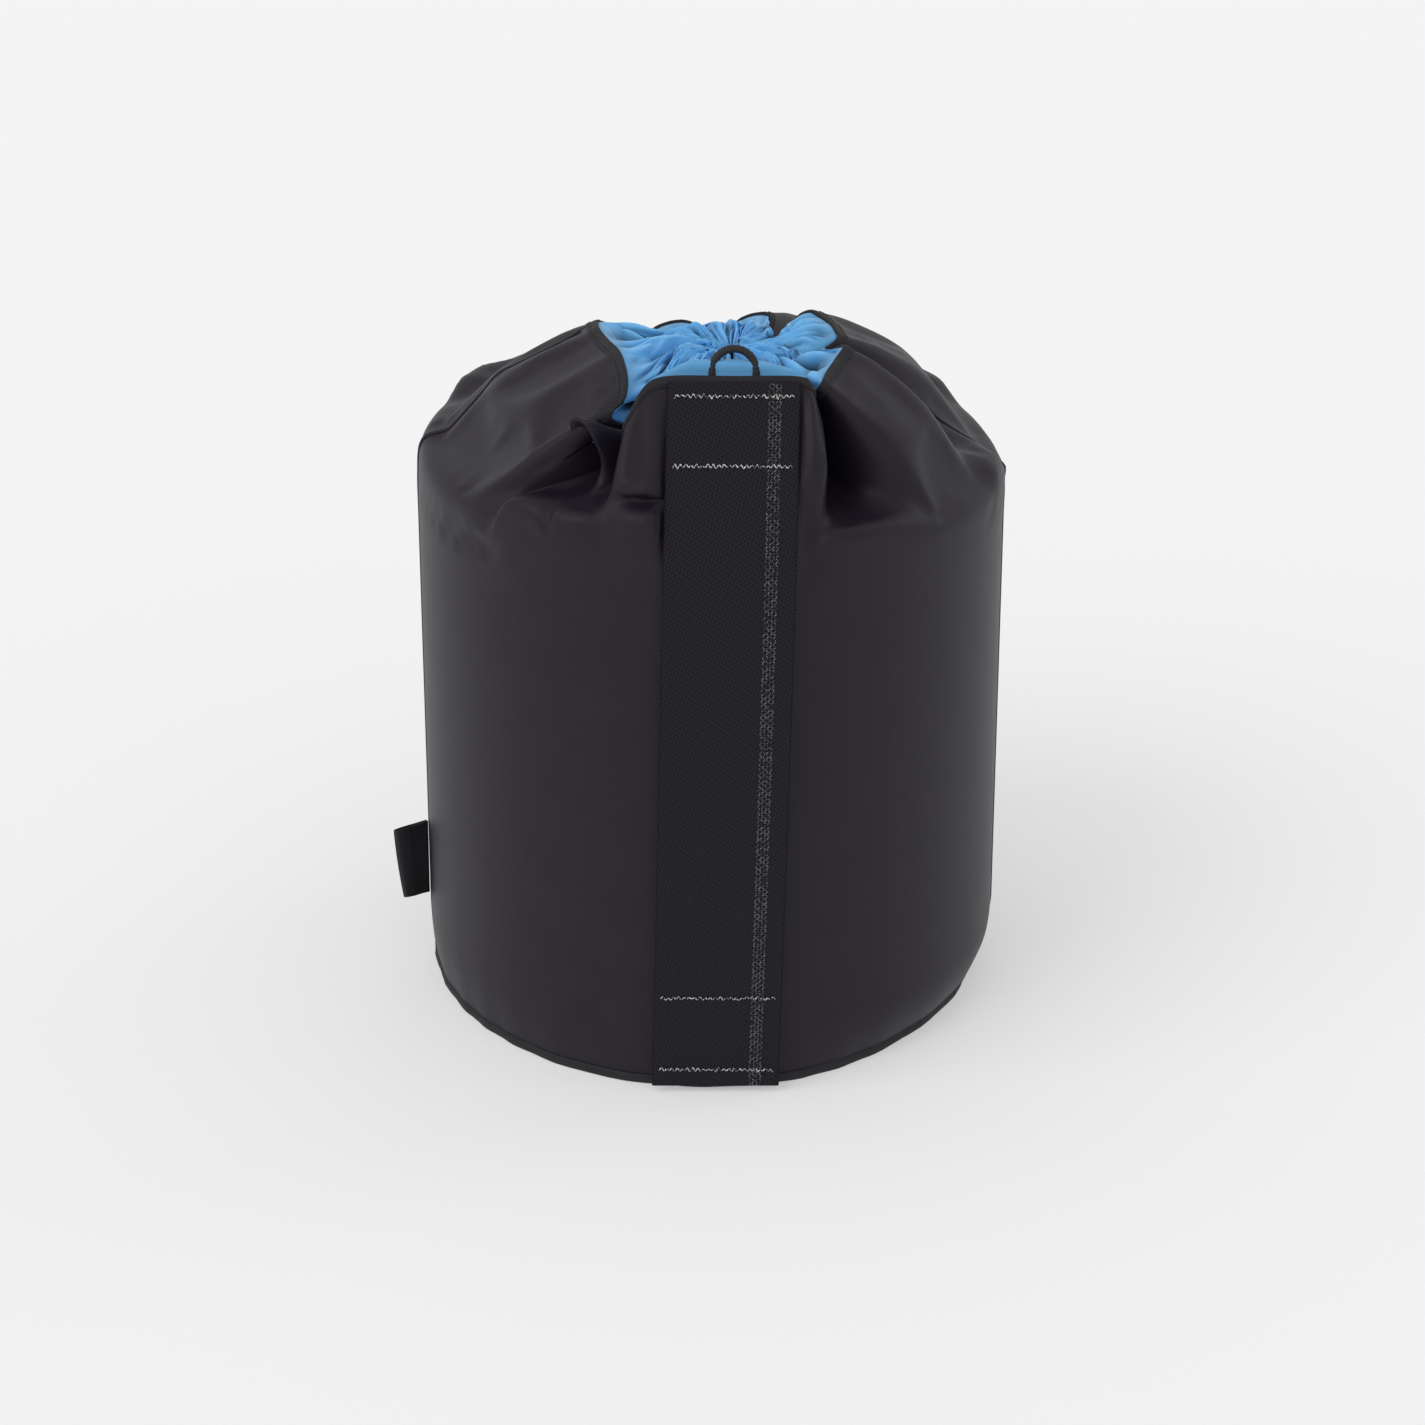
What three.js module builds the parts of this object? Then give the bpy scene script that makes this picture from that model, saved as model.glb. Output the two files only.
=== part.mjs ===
// Rope storage bag: a round, soft-walled bucket bag in black nylon. Its wall is gathered at the
// shoulder into a smaller hem, a light collar closes the mouth over a ring of elastic, a wide
// webbing grab handle runs down the front, and a cord loop and a folded tag are sewn into its seams.
// Millimetres, +Z up. The origin is the centre of the base's underside, and the handle faces -Y.
import * as THREE from "three";
import { mergeVertices } from "three/addons/utils/BufferGeometryUtils.js";

// Body
const bodyRadius = 116.5; // outside of the shell where it is straight
const straightHeight = 205; // the wall is a plain cylinder up to here
const hemHeight = 284; // top edge of the gathered mouth
const hemHalfWidth = 50; // the hem ring, side to side
const hemHalfDepth = 58; // the hem ring, front to back
const hemCentre = { x: 4, y: -20 }; // the mouth sits forward of the middle of the base
const hemSquareness = 2.5; // 2 is an ellipse; more flattens the front where the handle is sewn

// Cloth layers
const shellThickness = 1;
const liningThickness = 0.8;
const collarThickness = 0.8;
const baseThickness = 1.8;
const bindingThickness = 0.8; // folded edge tape on the hem, the side seams and the base seam
const hemBindingWidth = 8;
const sideSeamWidth = 3;
const baseBindingHeight = 5;
const layerGap = 0.3; // between pieces sewn face to face
const liningGap = 0.6; // the lining hangs loose inside the shell

// Mouth
const openingRadius = 14; // the relaxed opening inside the elastic
const openingDrop = 15; // the opening lies this far below the hem
const openingCentre = { x: 8, y: -14 };
const elasticRadius = 1.5;
const elasticClearance = 0.7; // so that the elastic slides in its channel
const channelSlit = 30; // degrees left unsewn under the channel, where the elastic goes in

// Grab handle
const webbingWidth = 50;
const webbingThickness = 1.6;
const webbingTopX = 8.7; // the handle is sewn on slightly askew
const webbingBottomX = 1.7;
const webbingFoot = 3; // height of its lower end
const gripBow = 6.5; // the free length stands this far off the shell at its middle
const stitchRowWidth = 2.8;
const stitchRowLength = 45;
const threadHeight = 0.5;
const stitchInset = 5; // from each end of the webbing to its outer stitch row
const topRowSpacing = 26; // between the two rows of the upper sewn end
const bottomRowSpacing = 32.5; // between the two rows of the lower sewn end
const stripeWidth = 5.3; // reflective stripe
const stripeOffset = 15.5; // from the middle of the webbing

// Loop and tag
const cordDiameter = 3.1;
const loopSpread = 16.5; // between the middles of the two legs
const loopLeg = 5.2; // straight part of each leg above the hem
const loopLean = 20; // degrees back from upright
const tagLength = 15.5; // out of the seam
const tagHeight = 35;
const tagFoot = 25; // height of its lower edge
const tagLeaf = 0.6; // thickness of each of its two leaves
const tagGap = 0.6; // between the leaves
const tagTurn = 33; // degrees forward of straight out

// Fineness of the curved solids
const turnSteps = 56; // round the bag
const shoulderSteps = 9; // up the gathered shoulder
const pipeSides = 10;

const rad = THREE.MathUtils.degToRad;
const front = rad(-90);
const left = rad(180);
const right = 0;

// ---- The wall of the bag as a surface -------------------------------------------------------

// The gathered hem in plan, for a direction round the bag.
function hemPoint(turn) {
  const power = 2 / hemSquareness;
  const across = Math.sign(Math.cos(turn)) * Math.abs(Math.cos(turn)) ** power;
  const along = Math.sign(Math.sin(turn)) * Math.abs(Math.sin(turn)) ** power;
  return new THREE.Vector3(
    hemCentre.x + hemHalfWidth * across,
    hemCentre.y + hemHalfDepth * along,
    hemHeight,
  );
}

// The line that one cloth thread follows over the shoulder. At the front the handle holds the
// cloth in a straight backward lean; everywhere else it domes over.
const shoulderLines = new Map();
function shoulderLine(turn) {
  const key = turn.toFixed(6);
  if (!shoulderLines.has(key)) {
    const dome = 1 - Math.max(0, -Math.sin(turn)) ** 2;
    const rise = (hemHeight - straightHeight) * (0.28 + 0.16 * dome);
    const outward = new THREE.Vector3(Math.cos(turn), Math.sin(turn), 0);
    const foot = outward.clone().multiplyScalar(bodyRadius).setZ(straightHeight);
    const hem = hemPoint(turn);
    const reach = foot.distanceTo(hem);
    const shoulder = hem.clone().addScaledVector(outward, reach * (0.25 + 0.12 * dome));
    shoulder.z -= reach * 0.375 * (1 - dome);
    const line = new THREE.CubicBezierCurve3(foot, foot.clone().setZ(straightHeight + rise), shoulder, hem);
    shoulderLines.set(key, line);
  }
  return shoulderLines.get(key);
}

// Distance up the cloth, measured along the front of the bag.
const clothTop = straightHeight + shoulderLine(front).getLength();

function wallPoint(turn, up) {
  if (up <= straightHeight)
    return new THREE.Vector3(bodyRadius * Math.cos(turn), bodyRadius * Math.sin(turn), up);
  return shoulderLine(turn).getPointAt(Math.min(1, (up - straightHeight) / (clothTop - straightHeight)));
}

// A point of the wall, moved out (positive) or in (negative) along the wall's own normal.
function offWall(turn, up, out) {
  const small = 1e-3;
  const low = Math.min(up, clothTop - 0.5);
  const round = wallPoint(turn + small, low).sub(wallPoint(turn - small, low));
  const rise = wallPoint(turn, low + 0.25).sub(wallPoint(turn, low - 0.25));
  const normal = round.cross(rise).normalize();
  return wallPoint(turn, up).addScaledVector(normal, out);
}

// ---- Ways of making a solid -----------------------------------------------------------------

function reshape(geometry, place) {
  const position = geometry.getAttribute("position");
  const from = new THREE.Vector3();
  for (let i = 0; i < position.count; i++) {
    from.fromBufferAttribute(position, i);
    const to = place(from);
    position.setXYZ(i, to.x, to.y, to.z);
  }
  geometry.deleteAttribute("uv");
  geometry.deleteAttribute("normal");
  const merged = mergeVertices(geometry, 1e-4);
  merged.computeVertexNormals();
  return merged;
}

// A patch of cloth on the wall, between two directions, two heights up the cloth and two offsets.
function wallPatch([turnA, turnB], [upA, upB], [outA, outB], turnCount, upStops) {
  const box = new THREE.BoxGeometry(1, 1, 1, turnCount, upStops.length - 1, 1);
  return reshape(box, (p) => {
    const turn = THREE.MathUtils.lerp(turnA, turnB, p.x + 0.5);
    const stop = upStops[Math.round((p.y + 0.5) * (upStops.length - 1))];
    return offWall(turn, THREE.MathUtils.lerp(upA, upB, stop), p.z > 0 ? outB : outA);
  });
}

// A full ring of cloth on the wall.
function wallRing([upA, upB], [outA, outB], upStops) {
  const base = 10;
  const profile = [];
  for (const stop of upStops)
    profile.push(new THREE.Vector2(base + outB, THREE.MathUtils.lerp(upA, upB, stop)));
  for (const stop of [...upStops].reverse())
    profile.push(new THREE.Vector2(base + outA, THREE.MathUtils.lerp(upA, upB, stop)));
  profile.push(profile[0].clone());
  const lathe = new THREE.LatheGeometry(profile, turnSteps);
  return reshape(lathe, (p) => offWall(Math.atan2(-p.z, p.x), p.y, Math.hypot(p.x, p.z) - base));
}

// Shares of a stretch of cloth at which it needs an edge: its ends, the start of the shoulder and
// equal steps over it.
function clothStops(upA, upB) {
  const stops = [0];
  if (upA < straightHeight && upB > straightHeight) stops.push((straightHeight - upA) / (upB - upA));
  const shoulderStart = Math.max(upA, straightHeight);
  const steps = Math.ceil((shoulderSteps * (upB - shoulderStart)) / (clothTop - straightHeight));
  for (let i = 1; i <= steps; i++)
    stops.push((shoulderStart + ((upB - shoulderStart) * i) / steps - upA) / (upB - upA));
  return upB > straightHeight ? stops : [0, 1];
}

// A length of webbing, flat across, that follows the front of the bag at a chosen stand-off.
function webbingStrip([upA, upB], [acrossA, acrossB], thickness, standOff, steps) {
  const box = new THREE.BoxGeometry(1, 1, 1, 1, steps, 1);
  return reshape(box, (p) => {
    const up = THREE.MathUtils.lerp(upA, upB, p.y + 0.5);
    const across = THREE.MathUtils.lerp(acrossA, acrossB, p.x + 0.5);
    const out = standOff(up) + (p.z > 0 ? thickness : 0);
    const point = offWall(front, up, out);
    point.x = webbingMiddle(up) + across;
    return point;
  });
}

function webbingMiddle(up) {
  return THREE.MathUtils.mapLinear(up, webbingFoot, clothTop, webbingBottomX, webbingTopX);
}

function mesh(name, geometry, material) {
  const made = new THREE.Mesh(geometry, material);
  made.name = name;
  return made;
}

// ---- Materials ------------------------------------------------------------------------------

function cloth(color, roughness) {
  return new THREE.MeshStandardMaterial({ color, roughness, metalness: 0 });
}
const blackNylon = cloth(0x2b292f, 0.5);
const blackTape = cloth(0x1d1b20, 0.75);
const blackWebbing = cloth(0x201e24, 0.85);
const blueNylon = cloth(0x4f8fbd, 0.5);
const reflectiveThread = new THREE.MeshStandardMaterial({ color: 0xa9a9ad, roughness: 0.4, metalness: 0.3 });
const elasticCord = cloth(0xe4e2dc, 0.8);

// ---- Body -----------------------------------------------------------------------------------

const shellFoot = baseThickness + layerGap;
const seamHalfGap = layerGap / 2 / bodyRadius; // as an angle

function shellPanel(name, turnA, turnB) {
  const heights = [shellFoot, clothTop];
  const turns = [turnA + seamHalfGap, turnB - seamHalfGap];
  const stops = clothStops(...heights);
  return mesh(name, wallPatch(turns, heights, [-shellThickness, 0], turnSteps / 2, stops), blackNylon);
}

function disc(radius, bottom, thickness, material, name) {
  const geometry = new THREE.CylinderGeometry(radius, radius, thickness, turnSteps);
  geometry.rotateX(Math.PI / 2);
  const made = mesh(name, geometry, material);
  made.position.z = bottom + thickness / 2;
  return made;
}

// The tape that binds the raw edges of the base seam: a low ring round the foot of the wall.
function baseBinding() {
  const inside = bodyRadius + layerGap;
  const profile = [
    [inside, layerGap],
    [inside + bindingThickness, layerGap + bindingThickness / 2],
    [inside + bindingThickness, baseBindingHeight - bindingThickness / 2],
    [inside, baseBindingHeight],
    [inside, layerGap],
  ];
  const points = profile.map(([radius, height]) => new THREE.Vector2(radius, height));
  const geometry = new THREE.LatheGeometry(points, turnSteps).rotateX(Math.PI / 2);
  return mesh("base_seam_binding", geometry, blackTape);
}

function sideSeam(name, turn) {
  const half = sideSeamWidth / 2 / bodyRadius;
  const heights = [baseBindingHeight + layerGap, clothTop - hemBindingWidth - layerGap];
  const outs = [layerGap, layerGap + bindingThickness];
  return mesh(name, wallPatch([turn - half, turn + half], heights, outs, 1, clothStops(...heights)), blackTape);
}

function hemBinding() {
  const heights = [clothTop - hemBindingWidth, clothTop];
  const ring = wallRing(heights, [layerGap, layerGap + bindingThickness], [0, 1]);
  return mesh("hem_binding", ring, blackTape);
}

const liningOut = -shellThickness - liningGap;
const liningFoot = shellFoot + liningThickness + layerGap;
const liningTop = clothTop - hemBindingWidth;

function liningWall() {
  const heights = [liningFoot, liningTop];
  const ring = wallRing(heights, [liningOut - liningThickness, liningOut], clothStops(...heights));
  return mesh("lining_wall", ring, blueNylon);
}

// ---- Mouth ----------------------------------------------------------------------------------

const channelRadius = elasticRadius + elasticClearance + collarThickness;
const channelCentre = openingRadius + channelRadius; // radius of the elastic's own ring
const collarJoin = channelCentre + channelRadius * 2; // round inside this radius, hem-shaped at the rim
const collarRim = collarJoin + 20; // radius that stands for the hem while the profile is turned

// The collar's cut edge: a sheet that runs in from the rim and rolls once round the elastic.
function collarProfile() {
  const points = [];
  const half = collarThickness / 2;
  const arc = (radius, from, to, count) => {
    for (let i = 0; i <= count; i++) {
      const angle = THREE.MathUtils.lerp(from, to, i / count);
      points.push(new THREE.Vector2(channelCentre + radius * Math.cos(angle), radius * Math.sin(angle)));
    }
  };
  const inner = channelRadius - collarThickness;
  const slit = rad(360 - channelSlit);
  points.push(new THREE.Vector2(collarRim, half), new THREE.Vector2(collarJoin, half));
  arc(channelRadius, Math.asin(half / channelRadius), slit, 11);
  arc(inner, slit, -Math.asin(half / inner), 9);
  points.push(new THREE.Vector2(collarJoin, -half), new THREE.Vector2(collarRim, -half));
  points.push(points[0].clone());
  return points;
}

// Turned round the opening, the collar's outer part is then drawn out to the hem's own shape.
function collar() {
  const lathe = new THREE.LatheGeometry(collarProfile(), turnSteps);
  const rimDrop = hemBindingWidth / 2;
  const geometry = reshape(lathe, (p) => {
    const turn = Math.atan2(-p.z, p.x);
    const radius = Math.hypot(p.x, p.z);
    const share = Math.max(0, (radius - collarJoin) / (collarRim - collarJoin));
    const round = new THREE.Vector3(radius * Math.cos(turn), radius * Math.sin(turn), -openingDrop);
    round.add(new THREE.Vector3(openingCentre.x, openingCentre.y, hemHeight));
    const rim = offWall(turn, clothTop - rimDrop, liningOut - collarThickness);
    const point = round.lerp(rim, share);
    point.z += p.y;
    return point;
  });
  return mesh("collar", geometry, blueNylon);
}

function mouthElastic() {
  const made = mesh("mouth_elastic", new THREE.TorusGeometry(channelCentre, elasticRadius, 8, turnSteps), elasticCord);
  made.position.set(openingCentre.x, openingCentre.y, hemHeight - openingDrop);
  return made;
}

// ---- Grab handle ----------------------------------------------------------------------------

const sewnOff = layerGap + bindingThickness + layerGap; // the sewn ends lie on the hem binding
const topRowUp = clothTop - stitchInset;
const gripTop = topRowUp - topRowSpacing - stitchRowWidth;
const bottomRowUp = webbingFoot + stitchInset;
const gripFoot = bottomRowUp + bottomRowSpacing + stitchRowWidth;

function webbingOff(up) {
  const share = THREE.MathUtils.clamp((up - gripFoot) / (gripTop - gripFoot), 0, 1);
  return sewnOff + gripBow * Math.sin(Math.PI * share) ** 2;
}
const onWebbing = (up) => webbingOff(up) + webbingThickness + layerGap;

function webbingPiece(name, upA, upB, steps) {
  const half = webbingWidth / 2;
  return mesh(name, webbingStrip([upA, upB], [-half, half], webbingThickness, webbingOff, steps), blackWebbing);
}

function stripePiece(name, upA, upB, steps) {
  const across = [stripeOffset - stripeWidth / 2, stripeOffset + stripeWidth / 2];
  return mesh(name, webbingStrip([upA, upB], across, threadHeight, onWebbing, steps), reflectiveThread);
}

// A row of stitches across the webbing, standing clear of the stripe that it crosses.
function stitchRow(name, up) {
  const ends = [up - stitchRowWidth / 2, up + stitchRowWidth / 2];
  const overStripe = (height) => onWebbing(height) + threadHeight + layerGap;
  const across = [-stitchRowLength / 2, stitchRowLength / 2];
  return mesh(name, webbingStrip(ends, across, threadHeight, overStripe, 1), reflectiveThread);
}

function grabHandle() {
  const handle = new THREE.Group();
  const half = layerGap / 2;
  const gripSteps = 14;
  const sections = [
    ["bottom", webbingFoot, gripFoot - half, 1],
    ["grip", gripFoot + half, gripTop - half, gripSteps],
    ["top", gripTop + half, clothTop, 4],
  ];
  for (const [section, upA, upB, steps] of sections) {
    handle.add(webbingPiece("handle_" + section, upA, upB, steps));
    handle.add(stripePiece("reflective_stripe_" + section, upA, upB, steps));
  }
  const rows = [topRowUp, topRowUp - topRowSpacing, bottomRowUp + bottomRowSpacing, bottomRowUp];
  rows.forEach((up, i) => handle.add(stitchRow("stitch_row_" + (i + 1), up)));
  return handle;
}

// ---- Cord loop and tag ----------------------------------------------------------------------

// A short length of round cord, bent over once, whose ends go down behind the hem.
function hangLoop() {
  const half = loopSpread / 2;
  const path = new THREE.CurvePath();
  const crown = new THREE.Vector3(0, 0, loopLeg);
  const onCrown = (angle) => crown.clone().add(new THREE.Vector3(-half * Math.cos(angle), 0, half * Math.sin(angle)));
  const points = [new THREE.Vector3(-half, 0, 0), new THREE.Vector3(-half, 0, loopLeg / 2)];
  for (let i = 0; i <= 8; i++) points.push(onCrown((Math.PI * i) / 8));
  points.push(new THREE.Vector3(half, 0, loopLeg / 2), new THREE.Vector3(half, 0, 0));
  path.add(new THREE.CatmullRomCurve3(points));
  const section = new THREE.Shape().absarc(0, 0, cordDiameter / 2, 0, 2 * Math.PI);
  const options = { steps: 22, curveSegments: pipeSides, extrudePath: path.curves[0], bevelEnabled: false };
  const made = mesh("hang_loop", reshape(new THREE.ExtrudeGeometry(section, options), (p) => p.clone()), blackTape);
  const cordRadius = cordDiameter / 2;
  const hem = offWall(front, clothTop, -shellThickness);
  made.position.set(webbingTopX, hem.y, hemHeight + layerGap + cordRadius * Math.sin(rad(loopLean)) + 1);
  made.rotation.x = -rad(loopLean);
  return made;
}

// A woven label folded in half, its two ends sewn into the left seam.
function sideTag() {
  const outside = tagLeaf + tagGap / 2;
  const outline = new THREE.Shape();
  outline.moveTo(0, -outside).lineTo(tagLength - outside, -outside);
  outline.absarc(tagLength - outside, 0, outside, -Math.PI / 2, Math.PI / 2);
  outline.lineTo(0, outside).lineTo(0, tagGap / 2).lineTo(tagLength - outside, tagGap / 2);
  outline.absarc(tagLength - outside, 0, tagGap / 2, Math.PI / 2, -Math.PI / 2, true);
  outline.lineTo(0, -tagGap / 2);
  const geometry = new THREE.ExtrudeGeometry(outline, { depth: tagHeight, bevelEnabled: false, curveSegments: 6 });
  const made = mesh("side_tag", geometry, blackTape);
  const root = bodyRadius + layerGap + bindingThickness + layerGap + outside;
  made.position.set(-root, 0, tagFoot);
  made.rotation.z = left + rad(tagTurn);
  return made;
}

// ---- The whole bag --------------------------------------------------------------------------

const bag = new THREE.Group();
bag.name = "rope_bag";
bag.add(disc(bodyRadius, 0, baseThickness, blackNylon, "base_panel"));
bag.add(disc(bodyRadius + liningOut - layerGap, shellFoot, liningThickness, blueNylon, "lining_base"));
bag.add(baseBinding());
bag.add(shellPanel("front_panel", -Math.PI, right));
bag.add(shellPanel("back_panel", right, Math.PI));
bag.add(sideSeam("left_side_seam", left), sideSeam("right_side_seam", right));
bag.add(hemBinding(), liningWall());
bag.add(collar(), mouthElastic());
bag.add(grabHandle());
bag.add(hangLoop(), sideTag());

export default bag;
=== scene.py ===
# %% [markdown]
# # A gathered rope bag
# A round, soft-walled bag of coated black nylon. Its wall is one tall tube of cloth whose top is
# gathered into a much smaller hem, so the shoulder buckles into lobes and deep pockets. A light
# blue collar closes the mouth over a ring of elastic, a wide webbing handle runs down the front,
# and a cord loop and a folded tag are sewn into its seams.
# The imported solids are the fixed frame: the pieces made here ride on one of its bodies or stay
# fixed where they are made.

# %% The frame
import math

import bmesh
import bpy
import numpy as np
from mathutils import Matrix, Vector, noise


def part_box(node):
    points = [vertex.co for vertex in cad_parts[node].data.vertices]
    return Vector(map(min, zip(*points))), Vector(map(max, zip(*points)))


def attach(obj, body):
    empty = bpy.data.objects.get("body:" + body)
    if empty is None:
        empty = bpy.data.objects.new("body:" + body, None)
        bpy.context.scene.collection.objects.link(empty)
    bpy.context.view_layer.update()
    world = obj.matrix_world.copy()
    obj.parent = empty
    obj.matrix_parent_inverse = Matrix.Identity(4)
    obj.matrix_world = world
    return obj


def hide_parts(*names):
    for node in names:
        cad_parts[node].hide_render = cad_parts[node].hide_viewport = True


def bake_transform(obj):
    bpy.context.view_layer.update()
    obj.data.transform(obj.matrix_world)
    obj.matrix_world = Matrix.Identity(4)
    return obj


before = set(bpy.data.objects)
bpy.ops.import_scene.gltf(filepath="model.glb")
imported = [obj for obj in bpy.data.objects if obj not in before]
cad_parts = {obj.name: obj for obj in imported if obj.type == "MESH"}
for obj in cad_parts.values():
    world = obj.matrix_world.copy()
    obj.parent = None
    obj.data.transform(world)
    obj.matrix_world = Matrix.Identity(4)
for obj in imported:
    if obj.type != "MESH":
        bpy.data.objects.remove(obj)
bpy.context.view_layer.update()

MM = 0.001

# %% [markdown]
# ## Camera
# The bag is seen from slightly above, from well away through a long lens, so that its two sides
# stay almost parallel. The camera looks along +Y, straight at the handle.

# %% Camera
camera_distance = 1.7
camera_elevation = math.radians(25.5)
camera_target = Vector((0.0006, 0, 0.1092))
look = Vector((0, math.cos(camera_elevation), -math.sin(camera_elevation)))
camera = bpy.data.objects.new("camera", bpy.data.cameras.new("camera"))
camera.location = camera_target - look * camera_distance
camera.rotation_euler = look.to_track_quat("-Z", "Y").to_euler()
camera.data.sensor_width = 36
camera.data.lens = 104.84
bpy.context.collection.objects.link(camera)
bpy.context.scene.camera = camera
bpy.context.scene.view_settings.view_transform = "Standard"
print("camera:", camera.data.lens, "mm lens,", camera_distance, "m away")

# %% [markdown]
# ## One helper for nodes, one for colours
# A finish is a small tree of nodes. `node` adds one node, sets its properties and fills its
# inputs, either with a value or with a link from another node's output. Colours are written as
# the sRGB hex that a colour picker shows, and turned to the linear values that shaders work in.

# %% Node and colour helpers
def linear(hex_colour):
    channels = [int(hex_colour[i:i + 2], 16) / 255 for i in (0, 2, 4)]
    return [c / 12.92 if c <= 0.04045 else ((c + 0.055) / 1.055) ** 2.4 for c in channels] + [1]


def node(tree, kind, inputs=(), **settings):
    made = tree.nodes.new(kind)
    for name, value in settings.items():
        setattr(made, name, value)
    for socket, value in dict(inputs).items():
        if isinstance(value, bpy.types.NodeSocket):
            tree.links.new(value, made.inputs[socket])
        else:
            made.inputs[socket].default_value = value
    return made


def new_finish(name, **principled):
    """A material with a Principled shader whose uniform values are set on its own sockets."""
    material = bpy.data.materials.new(name)
    material.use_nodes = True
    tree = material.node_tree
    shader = tree.nodes["Principled BSDF"]
    for socket, value in principled.items():
        shader.inputs[socket.replace("_", " ")].default_value = value
    return material, tree, shader


# %% [markdown]
# ## Floor and light
# The bag stands on a pale table of white acrylic that is lit from below, so that shadows stay
# faint. A wide soft key comes from the left front, a weaker light from the right draws the edge of
# the dark cloth, and an even pale surround gives the nylon its grazing sheen.

# %% Floor and light
def soft_light(name, place, aim, spread, power):
    light = bpy.data.lights.new(name, "SUN")
    light.angle = math.radians(spread)
    light.energy = power
    lamp = bpy.data.objects.new(name, light)
    lamp.location = place
    lamp.rotation_euler = (Vector(aim) - Vector(place)).to_track_quat("-Z", "Y").to_euler()
    bpy.context.collection.objects.link(lamp)


floor_mesh = bmesh.new()
bmesh.ops.create_grid(floor_mesh, x_segments=1, y_segments=1, size=6)
floor_data = bpy.data.meshes.new("floor")
floor_mesh.to_mesh(floor_data)
floor_mesh.free()
floor = bpy.data.objects.new("floor", floor_data)
bpy.context.collection.objects.link(floor)
floor_finish, _, _ = new_finish("lit_acrylic_table", Base_Color=linear("c8c8c8"), Roughness=0.9,
                                Emission_Color=(1, 1, 1, 1), Emission_Strength=0.35)
floor_data.materials.append(floor_finish)

bag_middle = (0, 0, 0.15)
soft_light("key", (-1.0, -0.7, 1.3), bag_middle, 42, 0.8)
soft_light("rim", (1.3, 0.6, 0.9), bag_middle, 24, 0.16)
world = bpy.data.worlds.new("surround")
world.use_nodes = True
world.node_tree.nodes["Background"].inputs["Color"].default_value = (1, 1, 1, 1)
world.node_tree.nodes["Background"].inputs["Strength"].default_value = 0.74
bpy.context.scene.world = world
print("lights:", [item.name for item in bpy.data.lights])

# %% [markdown]
# ## The bag's measures
# The straight wall's radius, the handle's foot and the elastic's ring come from the frame. The
# cloth tube's round and height are what a tailor would cut: the height is longer than the handle's
# own path, which is why the cloth bunches beside the handle. The handle leans a little, so its
# middle lies further right at its head than at its foot.

# %% Measures
wall_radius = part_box("front_panel")[1].x
wall_round = 2 * math.pi * wall_radius
cloth_height = 320 * MM
panel_thickness = 0.7 * MM
handle_bottom_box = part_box("handle_bottom")
elastic_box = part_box("mouth_elastic")
handle_foot_x = 1.7 * MM
handle_x = 8.7 * MM
print("cloth tube, mm:", round(wall_round * 1000), "round and", round(cloth_height * 1000), "high")

# %% [markdown]
# ## Smooth lines and soft steps
# Hems, cords and threads follow a smooth curve through a few chosen points. `rise` is a soft step
# from 0 to 1, and `hump` goes up and comes down again. `outward_at` is the level direction that
# points out of the bag at an angle round it.

# %% Smooth lines and soft steps
def smooth_line(points, count, closed=False):
    """Points spaced evenly along the Catmull-Rom curve through the given ones."""
    points = np.array(points, float)
    if closed:
        before, after = points[-1:], points[:2]
    else:
        before, after = 2 * points[:1] - points[1:2], 2 * points[-1:] - points[-2:-1]
    line = np.vstack([before, points, after])
    steps_between = 16
    step = np.linspace(0, 1, steps_between, endpoint=False)[:, None]
    dense = []
    for a, b, c, d in zip(line, line[1:], line[2:], line[3:]):
        dense.append(0.5 * (2 * b + (c - a) * step + (2 * a - 5 * b + 4 * c - d) * step ** 2
                            + (3 * b - a - 3 * c + d) * step ** 3))
    dense.append(line[-2:-1])
    dense = np.vstack(dense)
    length = np.r_[0, np.cumsum(np.linalg.norm(np.diff(dense, axis=0), axis=1))]
    wanted = np.linspace(0, length[-1], count, endpoint=not closed)
    return np.stack([np.interp(wanted, length, dense[:, axis]) for axis in range(3)], -1)


def rise(x, low, high):
    t = np.clip((x - low) / (high - low), 0, 1)
    return t * t * (3 - 2 * t)


def hump(x, start, full, rest, end):
    return rise(x, start, full) * (1 - rise(x, rest, end))


def outward_at(angle):
    return np.stack([np.cos(angle), np.sin(angle), 0 * angle], -1)


# %% [markdown]
# ## Webbing handle
# The handle is one length of 50 mm twill webbing, sewn flat at its two ends and free between
# them. It goes up the front of the wall, bends over the shoulder and leans back to the hem. Its
# sewn ends ride with the bag; the free length is made as two halves. The twill's steep ribs are
# drawn by its finish, and the looped selvedge is modelled.

# %% Webbing path
webbing_width = 50 * MM
webbing_thickness = 1.6 * MM
foot_z = handle_bottom_box[0].z
front_y = -wall_radius - 1.4 * MM
sewn_foot_z, sewn_head_z = 43.3 * MM, 257.0 * MM
webbing_points = 600
# Each stop is a height and a place forward or back.
webbing_stops = [
    (foot_z, front_y), (foot_z + 20 * MM, front_y), (43.2 * MM, front_y - 0.2 * MM),
    (90 * MM, front_y - 3.6 * MM), (140 * MM, front_y - 5.0 * MM), (190 * MM, front_y - 3.0 * MM),
    (217 * MM, front_y - 0.6 * MM), (228 * MM, -115.5 * MM), (238 * MM, -110.5 * MM),
    (257 * MM, -98.6 * MM), (272 * MM, -89.2 * MM), (284.6 * MM, -81.0 * MM),
]
webbing_line = smooth_line([(0, y, z) for z, y in webbing_stops], webbing_points)
webbing_length = float(np.linalg.norm(np.diff(webbing_line, axis=0), axis=1).sum())
line_tangent = np.gradient(webbing_line, axis=0)
line_tangent /= np.linalg.norm(line_tangent, axis=1, keepdims=True)
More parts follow.
